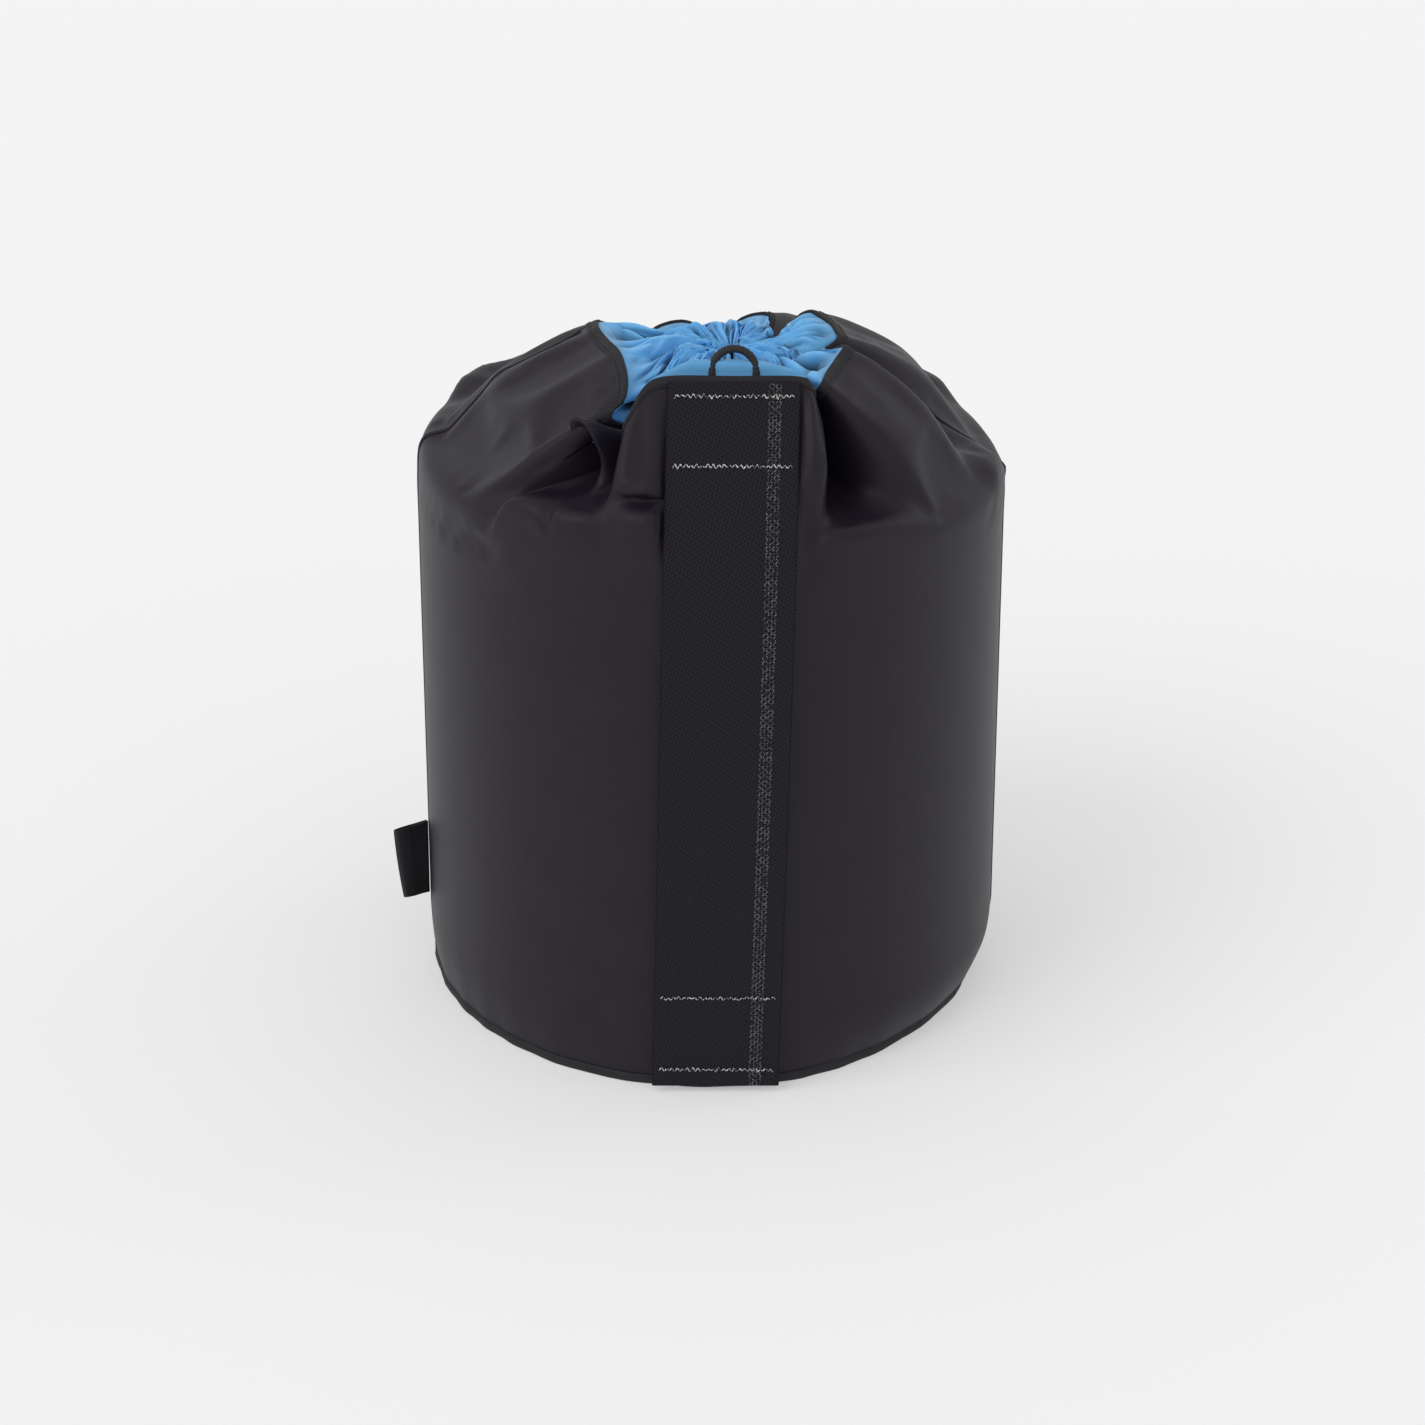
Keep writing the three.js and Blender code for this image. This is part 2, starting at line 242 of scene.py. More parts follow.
line_out = np.stack([0 * line_tangent[:, 0], -line_tangent[:, 2], line_tangent[:, 1]], -1)
print("webbing length, mm:", round(webbing_length * 1000, 1))


def on_webbing(along, across, out):
    """A place on the handle: metres along it from its foot, across it, and out of its back."""
    share = np.clip(np.asarray(along, float) / webbing_length, 0, 1) * (webbing_points - 1)
    low = np.minimum(np.floor(share).astype(int), webbing_points - 2)
    part = (share - low)[..., None]
    place = webbing_line[low] * (1 - part) + webbing_line[low + 1] * part
    away = line_out[low] * (1 - part) + line_out[low + 1] * part
    middle = handle_foot_x + (handle_x - handle_foot_x) * np.asarray(along, float) / webbing_length
    place = place + away * np.asarray(out, float)[..., None]
    place[..., 0] += middle + across
    return place


def along_at_height(z):
    return float(np.interp(z, webbing_line[:, 2], np.linspace(0, webbing_length, webbing_points)))


sewn_foot = along_at_height(sewn_foot_z)
sewn_head = along_at_height(sewn_head_z)
halfway = (sewn_foot + sewn_head) / 2
sections = [("handle_foot", 0, sewn_foot), ("handle_grip_lower", sewn_foot, halfway),
            ("handle_grip_upper", halfway, sewn_head), ("handle_head", sewn_head, webbing_length)]

# %% [markdown]
# ## The gathered hem
# Seen from above, the hem wanders in and out: it runs flat behind the handle's sewn end, dips into
# a valley on each side of it, and rises again into a lobe. The stops are places in millimetres,
# chosen where a lobe or a valley turns, and a closed smooth curve goes through them.

# %% Hem line
hem_stops = [
    (8.7, -78, 285.5), (33.7, -77.5, 285), (38.5, -77, 280), (36, -52, 266), (41, -76, 281),
    (44, -66, 283), (48, -53, 284), (50, -42, 284.5), (29, -28, 267), (48, -20, 278),
    (48.5, -8, 279), (44, 8, 278), (36, 20, 275), (17, 2, 262), (24, 31, 270), (10, 37, 265),
    (3, 10, 256), (-8, 37, 265), (-24, 32, 263), (-14, 4, 262), (-36, 22, 267), (-43, 12, 274),
    (-20, -4, 266), (-43, 2, 278), (-45, 0, 279), (-44.5, -5, 280), (-44, -15, 282),
    (-40, -30, 282.5), (-35, -45, 283), (-32, -62, 279), (-33, -72, 274), (-38, -76, 268),
    (-22, -62, 256), (-32.5, -86, 267), (-29, -85, 276), (-24.5, -81, 283), (-16.3, -78, 285.5),
]
columns, rows = 160, 66
hem_points = 1600
hem_line = smooth_line(hem_stops, hem_points, closed=True) * MM
shares = ((np.arange(columns) / columns * wall_round - handle_x) % wall_round) / wall_round
hem = hem_line[np.round(shares * hem_points).astype(int) % hem_points]
print("hem line, mm:", round(1000 * float(np.linalg.norm(np.diff(hem, axis=0), axis=1).sum())))

# %% [markdown]
# ## The gathered start of the wall
# Every upright thread of the cloth tube goes up the straight wall and then over the shoulder to
# its own place on the hem. Threads that end on a lobe dome over smoothly. Threads that end in a
# valley turn in sharply at a lip and lie on a shelf, which makes the pockets. Threads beside the
# handle have slack to lose, so they fold once over themselves. Each kind of thread is a smooth
# line through a few places, and neighbouring kinds blend into each other.

# %% Start shape
straight = 200 * MM
spare_cloth = 1.02
# Each thread's distance round the wall from the middle of the front, in mm, left is negative.
signed = (np.arange(columns) / columns + 0.5) % 1 * wall_round * 1000 - wall_round * 500
turn = np.arange(columns) / columns * 2 * math.pi - math.pi / 2
outward = outward_at(turn)
# Where the shoulder turns in: a kind of thread line, then its start, full, rest and end round the
# wall in mm, its share, and how far it shifts round the wall on its way up to the hem.
turned_in = [
    ("cave", -98, -86, -66, -54, 1.0, 8), ("shelf", -72, -63, -52, -38, 1.0, 3),
    ("shelf", 33, 41, 50, 104, 1.0, 19), ("shelf", 146, 158, 168, 186, 0.45, 0),
    ("shelf", 236, 256, 266, 286, 0.6, 0), ("shelf", 306, 326, 336, 356, 0.6, 0),
    ("shelf", -352, -330, -320, -298, 0.6, 0), ("shelf", -268, -250, -240, -222, 0.6, 0),
    ("fold", -46, -30, 28, 35, 1.0, 2),
]


def over_shoulder(column):
    """The upper part of one thread, from the straight wall to the hem."""
    out = outward[column]
    end = hem[column]
    foot = out * wall_radius
    corner = (229 - 7 * rise(signed[column], 0, 150) * (1 - rise(signed[column], 200, 330))) * MM
    lip = (240 if signed[column] < 0 else 234) * MM
    count = rows + 1

    def at(toward_hem, height, push=0.0):
        """A share of the way from the wall to the hem, at a height, pushed out by push mm."""
        place = foot + (end - foot) * toward_hem + out * push * MM
        place[2] = height
        return place

    low = [at(0, straight)]
    lobe = low + [at(0, corner - 12 * MM), at(0.02, corner), at(0.13, corner + 8 * MM),
                  at(0.5, corner + (end[2] - corner) * 0.6, 5),
                  at(0.8, corner + (end[2] - corner) * 0.88, 3), end]
    shelf = low + [at(0, lip - 8 * MM, 1), at(0.03, lip, 1), at(0.3, lip + 2 * MM),
                   at(0.66, lip + 4 * MM), at(0.88, lip + (end[2] - lip) * 0.35), end]
    cave = low + [at(0, lip - 8 * MM, 1), at(0.03, lip + 1 * MM, 1), at(0.35, lip + 3 * MM),
                  at(0.72, lip + 8 * MM), at(0.62, lip + 20 * MM), at(0.46, lip + 27 * MM),
                  at(0.46, lip + 31 * MM), at(0.7, end[2] * 0.55 + (lip + 32 * MM) * 0.45), end]
    fold = low + [at(0, 236 * MM, 1.5), at(0.04, 244 * MM, 2), at(0.3, 247 * MM, 0),
                  at(0.2, 251 * MM, 1.5), at(0.42, 261 * MM, 1), end]
    lines = {"shelf": shelf, "cave": cave, "fold": fold}
    level = np.linspace(0, 1, count)
    line = smooth_line(lobe, count)
    for kind, begin, full, rest, finish, share, shift in turned_in:
        position = signed[column] - shift * level
        part = (share * hump(position, begin, full, rest, finish))[:, None]
        if part.max() > 0:
            line = line * (1 - part) + smooth_line(lines[kind], count) * part
    return line


def gathered_start():
    """The start shape, and the height that each of its threads is cut to."""
    place = np.zeros((columns, rows + 1, 3))
    cut_height = np.zeros((columns, rows + 1))
    up = np.arange(rows + 1) / rows * cloth_height
    for column in range(columns):
        upper = over_shoulder(column)
        reach = float(np.linalg.norm(np.diff(upper, axis=0), axis=1).sum()) * spare_cloth
        cut_height[column] = np.where(up < straight, up,
                                      straight + (up - straight) * reach / (cloth_height - straight))
        share = np.clip((up - straight) / (cloth_height - straight), 0, 1) * rows
        for axis in range(3):
            place[column, :, axis] = np.interp(share, np.arange(rows + 1), upper[:, axis])
        low = up < straight
        place[column, low] = outward[column] * wall_radius
        place[column, low, 2] = up[low]
    return place, cut_height


start_shape, cut_height = gathered_start()
print("start shape, threads:", columns, "longest, mm:", round(1000 * float(cut_height.max()), 1))

# %% [markdown]
# ## A grid of cloth
# All the sheets of this bag start as a flat grid from `create_grid`, whose vertices are then moved
# to a place worked out from their column and row. A sheet that goes all the way round has its two
# edges merged. The flat size in metres is kept as the UV map, so that a weave follows the cloth.

# %% Grid of cloth
def cloth_grid(across, along, place, flat, round_closed=False, along_closed=False):
    """A bmesh grid whose vertex (i, j) goes to place[i, j]; flat is its cut size in metres."""
    mesh = bmesh.new()
    bmesh.ops.create_grid(mesh, x_segments=across, y_segments=along, size=0.5)
    uv = mesh.loops.layers.uv.new("flat")
    column = mesh.verts.layers.int.new("column")
    row = mesh.verts.layers.int.new("row")
    for face in mesh.faces:
        for loop in face.loops:
            loop[uv].uv = ((loop.vert.co.x + 0.5) * flat[0], (loop.vert.co.y + 0.5) * flat[1])
    for vert in mesh.verts:
        i, j = round((vert.co.x + 0.5) * across), round((vert.co.y + 0.5) * along)
        i = i % across if round_closed else i
        j = j % along if along_closed else j
        vert[column] = i
        vert[row] = j
        vert.co = Vector(place[i, j])
    bmesh.ops.remove_doubles(mesh, verts=mesh.verts, dist=1e-7)
    bmesh.ops.recalc_face_normals(mesh, faces=mesh.faces)
    return mesh


def as_piece(mesh, name, finish, body="root", smooth=True):
    data = bpy.data.meshes.new(name)
    mesh.to_mesh(data)
    mesh.free()
    piece = bpy.data.objects.new(name, data)
    bpy.context.collection.objects.link(piece)
    data.materials.append(finish)
    data.polygons.foreach_set("use_smooth", [smooth] * len(data.polygons))
    if body:
        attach(piece, body)
    return piece


def face_away(mesh, inside):
    """Turns an open sheet's faces so that they look away from the point inside the bag."""
    share = sum(face.calc_area() * (face.calc_center_median() - Vector(inside)).dot(face.normal)
                for face in mesh.faces)
    if share < 0:
        bmesh.ops.reverse_faces(mesh, faces=mesh.faces)


def thicken(piece, thickness, offset=-1):
    solid = piece.modifiers.new("thickness", "SOLIDIFY")
    solid.thickness = thickness
    solid.offset = offset


# %% [markdown]
# ## The cloth settles
# The start shape only says where the threads go. The cloth solver then gives it the size it was
# cut to: a shape key holds the flat tube, and its lengths are the solver's rest lengths. The hem
# and the sewn patch behind the handle are pinned, the lower wall is held loosely, and a little
# pressure stands for the lining and air inside. What is left over buckles by itself.

# %% Cloth simulation
def settle(start):
    """The places of the grid's vertices after the solver has run from the start shape."""
    mesh = cloth_grid(columns, rows, start, (wall_round, cloth_height), round_closed=True)
    face_away(mesh, bag_middle)
    data = bpy.data.meshes.new("wall_cloth")
    mesh.to_mesh(data)
    mesh.free()
    cloth = bpy.data.objects.new("wall_cloth", data)
    bpy.context.collection.objects.link(cloth)
    count = len(data.vertices)
    column = np.zeros(count, int)
    row = np.zeros(count, int)
    data.attributes["column"].data.foreach_get("value", column)
    data.attributes["row"].data.foreach_get("value", row)
    cloth.shape_key_add(name="gathered")
    cut = cloth.shape_key_add(name="cut", from_mix=False)
    flat_tube = outward[column] * wall_radius
    flat_tube[:, 2] = cut_height[column, row]
    cut.data.foreach_set("co", flat_tube.astype(np.float32).ravel())
    cut.value = 0

    up = row / rows * cloth_height
    beside = signed[column] - handle_x * 1000
    held_below, free_above = 195 * MM, 222 * MM
    patch_half_mm, patch_height = 25.5, 30 * MM
    held = 0.03 + 0.9 * (1 - rise(up, held_below, free_above))
    held[(np.abs(beside) < patch_half_mm) & (up > cloth_height - patch_height)] = 1
    held[(row == rows) | (row <= 1)] = 1
    pins = cloth.vertex_groups.new(name="sewn")
    for index in np.nonzero(held > 0)[0]:
        pins.add([int(index)], float(held[index]), "REPLACE")

    solver = cloth.modifiers.new("cloth", "CLOTH")
    settings = solver.settings
    settings.quality = 8
    settings.mass = 0.12
    settings.tension_stiffness = 40
    settings.compression_stiffness = 40
    settings.shear_stiffness = 12
    settings.bending_stiffness = 1.5
    settings.tension_damping = 6
    settings.compression_damping = 6
    settings.shear_damping = 6
    settings.bending_damping = 0.5
    settings.air_damping = 2
    settings.vertex_group_mass = "sewn"
    settings.use_pressure = True
    settings.uniform_pressure_force = 0.4
    settings.rest_shape_key = cut
    settings.effector_weights.gravity = 0.2
    solver.collision_settings.use_collision = False
    solver.collision_settings.use_self_collision = False
    frames = 34
    solver.point_cache.frame_end = frames
    for frame_number in range(1, frames + 1):
        bpy.context.scene.frame_set(frame_number)
    depsgraph = bpy.context.evaluated_depsgraph_get()
    settled = bpy.data.meshes.new_from_object(cloth.evaluated_get(depsgraph))
    flat_list = np.zeros(count * 3, np.float32)
    settled.vertices.foreach_get("co", flat_list)
    place = np.zeros((columns, rows + 1, 3))
    place[column, row] = flat_list.reshape(-1, 3)
    bpy.data.objects.remove(cloth)
    bpy.data.meshes.remove(settled)
    return place


wall = settle(start_shape)
print("wall settled, top and widest, mm:", (wall.max((0, 1)) * 1000).round(1))

# %% [markdown]
# ## A finer wall, and the places of everything sewn to it
# The settled grid is doubled with a four-point curve in both directions. `on_wall` then gives the
# place of any point of the cloth, from its distance round the bag and its height up the cloth,
# moved out by a chosen amount. Seams, tape, lining and threads all find their place with it.

# %% Finer wall
def doubled(grid, closed):
    """Twice as many points along the first axis, the new ones on a cubic through the old."""
    if closed:
        before, after, beyond = np.roll(grid, 1, 0), np.roll(grid, -1, 0), np.roll(grid, -2, 0)
        between = (9 * (grid + after) - before - beyond) / 16
        return np.stack([grid, between], 1).reshape(-1, *grid.shape[1:])
    padded = np.concatenate([2 * grid[:1] - grid[1:2], grid, 2 * grid[-1:] - grid[-2:-1]])
    between = (9 * (padded[1:-2] + padded[2:-1]) - padded[:-3] - padded[3:]) / 16
    made = np.stack([grid[:-1], between], 1).reshape(-1, *grid.shape[1:])
    return np.concatenate([made, grid[-1:]])


wall = doubled(wall, closed=True)
wall = doubled(wall.transpose(1, 0, 2), closed=False).transpose(1, 0, 2)
fine_columns, fine_rows = columns * 2, rows * 2


def tucked_behind_handle(grid):
    """Presses the cloth back wherever it would come through the webbing."""
    made = grid.copy()
    lowest_row = int(40 * MM / cloth_height * fine_rows)
    pressed_to, free_from = 25.2 * MM, 29.5 * MM
    near = np.abs(grid[:, 0, 0] - handle_x) < 45 * MM
    near &= grid[:, 0, 1] < 0
    for column in np.nonzero(near)[0]:
        for row in range(lowest_row, fine_rows + 1):
            place = grid[column, row]
            gap = webbing_line[:, 1:] - place[1:]
            nearest = int((gap ** 2).sum(1).argmin())
            out = line_out[nearest]
            lean = (handle_x - handle_foot_x) * nearest / (webbing_points - 1)
            middle = handle_foot_x + lean
            beyond = float(-(gap[nearest] @ out[1:])) + panel_thickness
            beside = 1 - rise(abs(place[0] - middle), pressed_to, free_from)
            made[column, row] = place - out * max(0.0, beyond) * beside
    return made


def rounded_foot(grid):
    """Draws the wall in over its last stretch, most at the right front, with small puckers."""
    made = grid.copy()
    angle = np.arctan2(grid[:, 0, 1], grid[:, 0, 0])
    from_right = np.abs((np.degrees(angle) + 22 + 180) % 360 - 180)
    from_left = np.abs(np.degrees(angle) + 150)
    draw = 1.6 + 8.5 * (1 - rise(from_right, 12, 62)) + 1.6 * (1 - rise(from_left, 10, 40))
    up = np.arange(fine_rows + 1) / fine_rows * cloth_height * 1000
    share = np.clip(1 - up / 26, 0, 1) ** 2
    pucker = 0.35 * np.sin(angle * 31 + 2 * np.sin(angle * 5))[:, None] * np.exp(-up / 11) * (up > 1)
    inward = (draw[:, None] * share + pucker) * MM
    made[:, :, :2] -= outward_at(angle)[:, None, :2] * inward[..., None]
    return made


wall = rounded_foot(tucked_behind_handle(wall))


def wall_normals(grid):
    round_step = np.roll(grid, -1, 0) - np.roll(grid, 1, 0)
    up_step = np.gradient(grid, axis=1)
    normal = np.cross(round_step, up_step)
    return normal / np.maximum(np.linalg.norm(normal, axis=-1, keepdims=True), 1e-9)


normals = wall_normals(wall)


def sampled(grid, along_wall, up):
    """grid at any distances along the wall and up the cloth, in metres, by bilinear steps."""
    i = np.asarray(along_wall, float) % wall_round / wall_round * fine_columns
    j = np.clip(np.asarray(up, float) / cloth_height, 0, 1) * fine_rows
    i0, j0 = np.floor(i).astype(int), np.minimum(np.floor(j).astype(int), fine_rows - 1)
    a, b = (i - i0)[..., None], (j - j0)[..., None]
    i0, i1 = i0 % fine_columns, (i0 + 1) % fine_columns
    return ((grid[i0, j0] * (1 - a) + grid[i1, j0] * a) * (1 - b)
            + (grid[i0, j0 + 1] * (1 - a) + grid[i1, j0 + 1] * a) * b)


def on_wall(along_wall, up, out=0.0):
    """Places on the cloth, in metres, pushed out of it by out."""
    out = np.asarray(out, float)[..., None]
    return sampled(wall, along_wall, up) + sampled(normals, along_wall, up) * out


print("fine wall:", wall.shape)

# %% [markdown]
# ## Coated nylon
# The shell is a plain-woven nylon with a coating inside: near black, smooth, and with a soft sheen
# that lifts it to grey where it turns away. The weave has about 3 threads to the millimetre, too
# fine to show from here, so it is drawn at half that count; a wider slub varies the sheen.

# %% Coated nylon finish
def woven_finish(name, dark, light, roughness, thread, bump, **principled):
    """A plain weave of two near colours, with threads of the given spacing in metres."""
    finish, tree, shader = new_finish(name, Roughness=roughness, **principled)
    flat = node(tree, "ShaderNodeUVMap", uv_map="flat").outputs["UV"]
    place = node(tree, "ShaderNodeTexCoord").outputs["Object"]
    crossing = {"Vector": flat, "Scale": math.pi / thread / 10, "Distortion": 0.0}
    warp = node(tree, "ShaderNodeTexWave", crossing, bands_direction="X").outputs["Fac"]
    weft = node(tree, "ShaderNodeTexWave", crossing, bands_direction="Y").outputs["Fac"]
    weave = node(tree, "ShaderNodeMath", {0: warp, 1: weft}, operation="MULTIPLY").outputs[0]
    slub = node(tree, "ShaderNodeTexNoise", {"Vector": place, "Scale": 60.0, "Detail": 4.0})
    tone = node(tree, "ShaderNodeMix", {"Factor": slub.outputs["Fac"], "A": linear(dark),
                                        "B": linear(light)}, data_type="RGBA")
    tree.links.new(tone.outputs["Result"], shader.inputs["Base Color"])
    height = node(tree, "ShaderNodeBump", {"Height": weave, "Strength": bump, "Distance": thread * 0.3})
    tree.links.new(height.outputs["Normal"], shader.inputs["Normal"])
    return finish


shell_nylon = woven_finish("coated_nylon", "18131c", "1f1925", 0.46, 0.66 * MM, 0.25,
                           Specular_IOR_Level=0.24)
print("finish:", shell_nylon.name)

# %% [markdown]
# ## Front and back panels
# The shell is cut as two panels, sewn together at the two sides. Each panel is its own grid of
# cloth laid on the settled wall, with the thickness of the cloth turned inwards.

# %% Panels
quarter = wall_round / 4
wall_foot = 2.2 * MM


def wall_sheet(start, end, count, foot, head, steps, out):
    """Places for a grid of cloth between two distances round the bag and two heights."""
    along = np.linspace(start, end, count + 1)[:, None] + np.zeros(steps + 1)
    up = np.linspace(foot, head, steps + 1)[None, :] + np.zeros((count + 1, 1))
    return on_wall(along, up, np.full(along.shape, out))


def panel(name, start, end):
    across, steps = 160, 132
    gap = 0.15 * MM
    place = wall_sheet(start + gap, end - gap, across, wall_foot, cloth_height, steps, 0)
    mesh = cloth_grid(across, steps, place, (end - start, cloth_height))
    face_away(mesh, bag_middle)
    made = as_piece(mesh, name, shell_nylon)
    thicken(made, panel_thickness)
    return made


front_panel = panel("front_panel_cloth", -quarter, quarter)
back_panel = panel("back_panel_cloth", quarter, 3 * quarter)
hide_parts("front_panel")
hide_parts("back_panel")
print("panel faces:", len(front_panel.data.polygons))

# %% [markdown]
# ## Sleeves
# Tape, seams, webbing and cord are all closed tubes of some cross-section that follow a line. A
# sleeve is a grid whose one edge is merged round into a tube; its two ends are filled, or it goes
# right round the bag and closes on itself.

# %% Sleeves
def sleeve(around, along, place, flat, ring=False):
    """place[i, j] is the point i round the section and j along the line."""
    mesh = cloth_grid(around, along, place, flat, round_closed=True, along_closed=ring)
    if not ring:
        rims = [edge for edge in mesh.edges if edge.is_boundary]
        bmesh.ops.holes_fill(mesh, edges=rims, sides=0)
        for edge in rims:
            edge.smooth = False
    bmesh.ops.recalc_face_normals(mesh, faces=mesh.faces)
    return mesh


# %% [markdown]
# ## Side seams
# The two panels meet in a narrow felled seam on each side, a low ridge that the light catches as
# one fine line from the base to the hem.

# %% Side seams
# The seam's section, as pairs of mm: across it, and out of the cloth.
seam_section = [(-1.3, -0.1), (-1.1, 0.35), (-0.4, 0.75), (0.4, 0.75), (1.1, 0.35), (1.3, -0.1),
                (0, -0.3)]


def side_seam(name, middle):
    steps = 150
    up = np.linspace(4 * MM, cloth_height - 7.5 * MM, steps + 1)
    place = np.zeros((len(seam_section), steps + 1, 3))
    for i, (across, out) in enumerate(seam_section):
        along = np.full(steps + 1, middle + across * MM)
        place[i] = on_wall(along, up, np.full(steps + 1, out * MM))
    mesh = sleeve(len(seam_section), steps, place, (6 * MM, cloth_height))
    return as_piece(mesh, name, shell_nylon)


left_seam = side_seam("left_side_seam_ridge", -quarter)
right_seam = side_seam("right_side_seam_ridge", quarter)
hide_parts("left_side_seam")
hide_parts("right_side_seam")
print("seam faces:", len(left_seam.data.polygons) + len(right_seam.data.polygons))

# %% [markdown]
# ## Bound hem
# The raw top edge is bound with a folded tape, sewn through with a row of black thread. The
# tape wraps over the edge, so its section starts on the outside, goes over the top and ends inside.
# Each pair is a distance above the edge and out of the cloth, in millimetres.

# %% Hem binding
black_tape = woven_finish("woven_tape", "18171b", "222126", 0.7, 0.8 * MM, 0.5,
                          Specular_IOR_Level=0.35)
hem_section = [(-4.6, 0.02), (-4.4, 0.35), (-2.2, 0.42), (-0.7, 0.6), (0.3, 0.5), (0.55, -0.2), (0.3, -0.9),
               (-0.8, -1.2), (-3.4, -1.15), (-4.4, -0.9), (-3.4, -0.5), (-1.5, -0.35), (-3.6, -0.15)]


def over_hem(distance, out, count):
    """Places along the hem, above or below the cloth's edge by a distance in mm."""
    along = np.arange(count) / count * wall_round
    height = cloth_height + min(distance, 0) * MM
    edge = on_wall(along, np.full(count, height), np.full(count, out * MM))
    if distance > 0:
        top = sampled(wall, along, np.full(count, cloth_height))
        below = sampled(wall, along, np.full(count, cloth_height - 3 * MM))
        away = (top - below) / np.maximum(np.linalg.norm(top - below, axis=-1, keepdims=True), 1e-9)
        edge = edge + away * distance * MM
    return edge


hem_count = 480
hem_place = np.stack([over_hem(distance, out, hem_count) for distance, out in hem_section])
hem_mesh = sleeve(len(hem_section), hem_count, hem_place, (20 * MM, wall_round), ring=True)
hem_tape = as_piece(hem_mesh, "hem_tape", black_tape)
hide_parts("hem_binding")
print("hem tape faces:", len(hem_tape.data.polygons))

# %% [markdown]
# ## Threads
# A stitch is a short thread lying on the cloth. Each is a six-sided capsule of a few dozen faces,
# stretched between the two holes that it goes through, and a whole row is one piece.

# %% Threads
def thread_row(name, ends, thickness, finish, body="root"):
    """One mesh of capsules, each between a pair of points."""
    mesh = bmesh.new()
    for start, end in ends:
        start, end = Vector(start), Vector(end)
        span = end - start
        turned = span.to_track_quat("Z", "Y").to_matrix().to_4x4()
        size = Matrix.Diagonal((thickness / 2, thickness / 2, span.length / 2, 1))
        bmesh.ops.create_uvsphere(mesh, u_segments=6, v_segments=4, radius=1.0,
                                  matrix=Matrix.Translation((start + end) / 2) @ turned @ size)
    return as_piece(mesh, name, finish, body)


black_thread, _, _ = new_finish("spun_polyester_thread", Base_Color=linear("0d0c0f"), Roughness=0.6)
stitch_length = 2.6 * MM
thread_thickness = 0.5 * MM
hem_stitch_count = int(wall_round / stitch_length)
marks = over_hem(-3.1, 0.5, hem_stitch_count * 4)
pairs = [(marks[i * 4], marks[i * 4 + 3]) for i in range(hem_stitch_count)]
thread_row("hem_stitches", pairs, thread_thickness, black_thread)
print("stitches round the hem:", hem_stitch_count)

# %% [markdown]
# ## Lining and base
# The lining is a blue nylon tube inside the shell. It follows the straight wall, and crosses the
# shoulder on a sagging line of its own, because it is sewn only at the base and the hem. The floor
# of the bag is two discs, a black one outside and a blue one inside, each slightly crowned because
# nothing stiffens it. The base seam is a low rolled lip with puckers from its thread.

# %% Lining and base
blue_nylon = woven_finish("light_blue_nylon", "4a8cc0", "5fa5d8", 0.5, 0.6 * MM, 0.15,
                          Sheen_Weight=0.2, Sheen_Roughness=0.4, Specular_IOR_Level=0.15)
lining_foot, lining_head = 4 * MM, cloth_height - 6 * MM
lining_inset = 2.0 * MM
lining_flat = (wall_round, lining_head - lining_foot)
lining_place = wall_sheet(0, wall_round, columns, lining_foot, lining_head, rows, -lining_inset)[:-1]
lining_up = np.linspace(lining_foot, lining_head, rows + 1)
slack_from = int(np.searchsorted(lining_up, 188 * MM))
for column in range(columns):
    lower = lining_place[column, slack_from]
    upper = lining_place[column, -1] + np.array([0, 0, -1.5 * MM])
    sag = (lower + upper) / 2 + np.array([0, 0, -9 * MM]) - outward[column] * 5 * MM
    lining_place[column, slack_from:] = smooth_line([lower, sag, upper], rows + 1 - slack_from)
lining_mesh = cloth_grid(columns, rows, lining_place, lining_flat, round_closed=True)
face_away(lining_mesh, bag_middle)
lining = as_piece(lining_mesh, "lining_cloth", blue_nylon)
thicken(lining, 0.4 * MM)
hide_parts("lining_wall")


def crowned_disc(name, radius, height, crown, ripple, finish):
    """A disc of cloth whose rings of vertices rise towards the middle."""
    around, rings, puckers = 96, 14, 24
    place = np.zeros((around, rings + 1, 3))
    angle = np.arange(around) / around * 2 * math.pi
    foot_line = on_wall((angle + math.pi / 2) * wall_radius, np.full(around, wall_foot))
    for ring in range(rings + 1):
        share = 1 - ring / rings
        lift = crown * (1 - share ** 2)
        lift = lift + ripple * share ** 6 * np.sin(angle * puckers) * (1 - share) * 6
        rim = radius + np.linalg.norm(foot_line[:, :2], axis=1) - wall_radius
        level = [rim * share * np.cos(angle), rim * share * np.sin(angle), height + lift]
        place[:, ring] = np.stack(level, -1)
    mesh = cloth_grid(around, rings, place, (2 * math.pi * radius, radius), round_closed=True)
    return as_piece(mesh, name, finish)


base_disc = crowned_disc("base_cloth", wall_radius - 0.5 * MM, 1.0 * MM, 1.6 * MM, 0.5 * MM,
                         shell_nylon)
thicken(base_disc, 0.7 * MM, 0)
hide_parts("base_panel")
lining_disc = crowned_disc("lining_base_cloth", wall_radius - 3 * MM, 4.0 * MM, 2.2 * MM, 0.8 * MM,
                           blue_nylon)
thicken(lining_disc, 0.4 * MM, 0)
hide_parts("lining_base")


